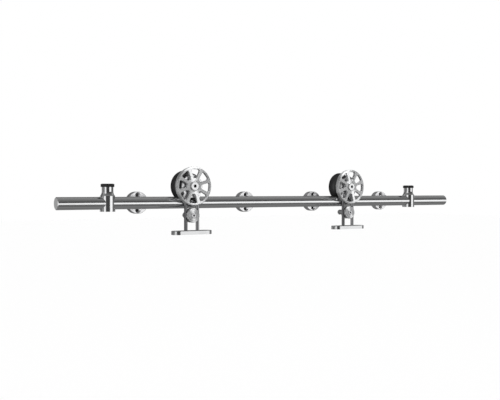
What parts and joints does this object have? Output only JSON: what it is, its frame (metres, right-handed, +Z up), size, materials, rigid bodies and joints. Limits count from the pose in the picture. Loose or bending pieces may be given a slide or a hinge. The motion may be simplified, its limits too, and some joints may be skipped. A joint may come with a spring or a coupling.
{
  "type": "sliding barn door hardware",
  "caption": "Round steel bar on wall standoffs with end stops and spoked-wheel trolleys that roll along it and carry a sliding door on flat feet.",
  "frame": {"origin": "centre of the leftmost wall flange, on its wall face", "axes": "+X along the bar to the right as seen from the room, +Y into the wall, +Z up"},
  "size_m": [1.056, 0.0787, 0.1413],
  "materials": {
    "brushed_bar": "brushed along its length",
    "satin_steel": "satin",
    "polished_steel": "polished",
    "turned_steel": "fine circular turning marks",
    "plain_steel": "plain machined",
    "bearing_steel": "ground",
    "black_nylon": "matt moulded",
    "black_rubber": "matt"
  },
  "bodies": {
    "track": {"track_bar": "brushed_bar", "wall_flange_1": "satin_steel", "standoff_1": "satin_steel", "wall_flange_2": "satin_steel", "standoff_2": "satin_steel", "wall_flange_3": "satin_steel", "standoff_3": "satin_steel", "wall_flange_4": "satin_steel", "standoff_4": "satin_steel", "standoff_studs": "plain_steel"},
    "left_stop": {"left_stop_body": "polished_steel", "left_stop_bumper": "black_rubber", "left_stop_bumper_screw": "plain_steel", "left_stop_set_screw": "plain_steel"},
    "left_hanger": {"left_hanger_head": "satin_steel", "left_hanger_leg_left": "polished_steel", "left_hanger_leg_right": "polished_steel", "left_foot_plate": "polished_steel", "left_leg_screws": "plain_steel", "left_bearing_outer_ring": "bearing_steel"},
    "left_wheel": {"left_spoked_disc": "turned_steel", "left_hub_cap": "polished_steel", "left_axle": "plain_steel", "left_roller": "black_nylon", "left_axle_washer": "plain_steel", "left_axle_nut": "plain_steel", "left_bearing_inner_ring": "bearing_steel", "left_bearing_balls": "bearing_steel", "left_shim_washers": "plain_steel"},
    "left_clamp": {"left_clamp_front_disc": "turned_steel", "left_clamp_rear_disc": "satin_steel", "left_clamp_bolt": "polished_steel", "left_clamp_sleeve": "polished_steel", "left_clamp_nut": "polished_steel"},
    "right_stop": {"right_stop_body": "polished_steel", "right_stop_bumper": "black_rubber", "right_stop_bumper_screw": "plain_steel", "right_stop_set_screw": "plain_steel"},
    "right_hanger": {"right_hanger_head": "satin_steel", "right_hanger_leg_left": "polished_steel", "right_hanger_leg_right": "polished_steel", "right_foot_plate": "polished_steel", "right_leg_screws": "plain_steel", "right_bearing_outer_ring": "bearing_steel"},
    "right_wheel": {"right_spoked_disc": "turned_steel", "right_hub_cap": "polished_steel", "right_axle": "plain_steel", "right_roller": "black_nylon", "right_axle_washer": "plain_steel", "right_axle_nut": "plain_steel", "right_bearing_inner_ring": "bearing_steel", "right_bearing_balls": "bearing_steel", "right_shim_washers": "plain_steel"},
    "right_clamp": {"right_clamp_front_disc": "turned_steel", "right_clamp_rear_disc": "satin_steel", "right_clamp_bolt": "polished_steel", "right_clamp_sleeve": "polished_steel", "right_clamp_nut": "polished_steel"}
  },
  "joints": [
    {"name": "left_trolley_slide", "type": "slide", "parent": "track", "child": "left_hanger", "axis": [1, 0, 0], "range_m": [-0.1415, 0.158]},
    {"name": "left_wheel_spin", "type": "hinge", "parent": "left_hanger", "child": "left_wheel", "pos_m": [0.1, -0.046, 0.0343], "axis": [0, 1, 0], "continuous": true},
    {"name": "left_clamp_height", "type": "slide", "parent": "left_hanger", "child": "left_clamp", "axis": [0, 0, -1], "range_m": [0, 0.014]},
    {"name": "left_stop_position", "type": "slide", "parent": "track", "child": "left_stop", "axis": [1, 0, 0], "range_m": [-0.07, 0]},
    {"name": "right_trolley_slide", "type": "slide", "parent": "track", "child": "right_hanger", "axis": [1, 0, 0], "range_m": [-0.163, 0.18]},
    {"name": "right_wheel_spin", "type": "hinge", "parent": "right_hanger", "child": "right_wheel", "pos_m": [0.525, -0.046, 0.0343], "axis": [0, 1, 0], "continuous": true},
    {"name": "right_clamp_height", "type": "slide", "parent": "right_hanger", "child": "right_clamp", "axis": [0, 0, -1], "range_m": [0, 0.014]},
    {"name": "right_stop_position", "type": "slide", "parent": "track", "child": "right_stop", "axis": [1, 0, 0], "range_m": [0, 0.07]}
  ],
  "couplings": [
    {"joint": "left_wheel_spin", "follows": "left_trolley_slide", "rad_per_m": 46.512},
    {"joint": "right_wheel_spin", "follows": "right_trolley_slide", "rad_per_m": 46.512}
  ]
}
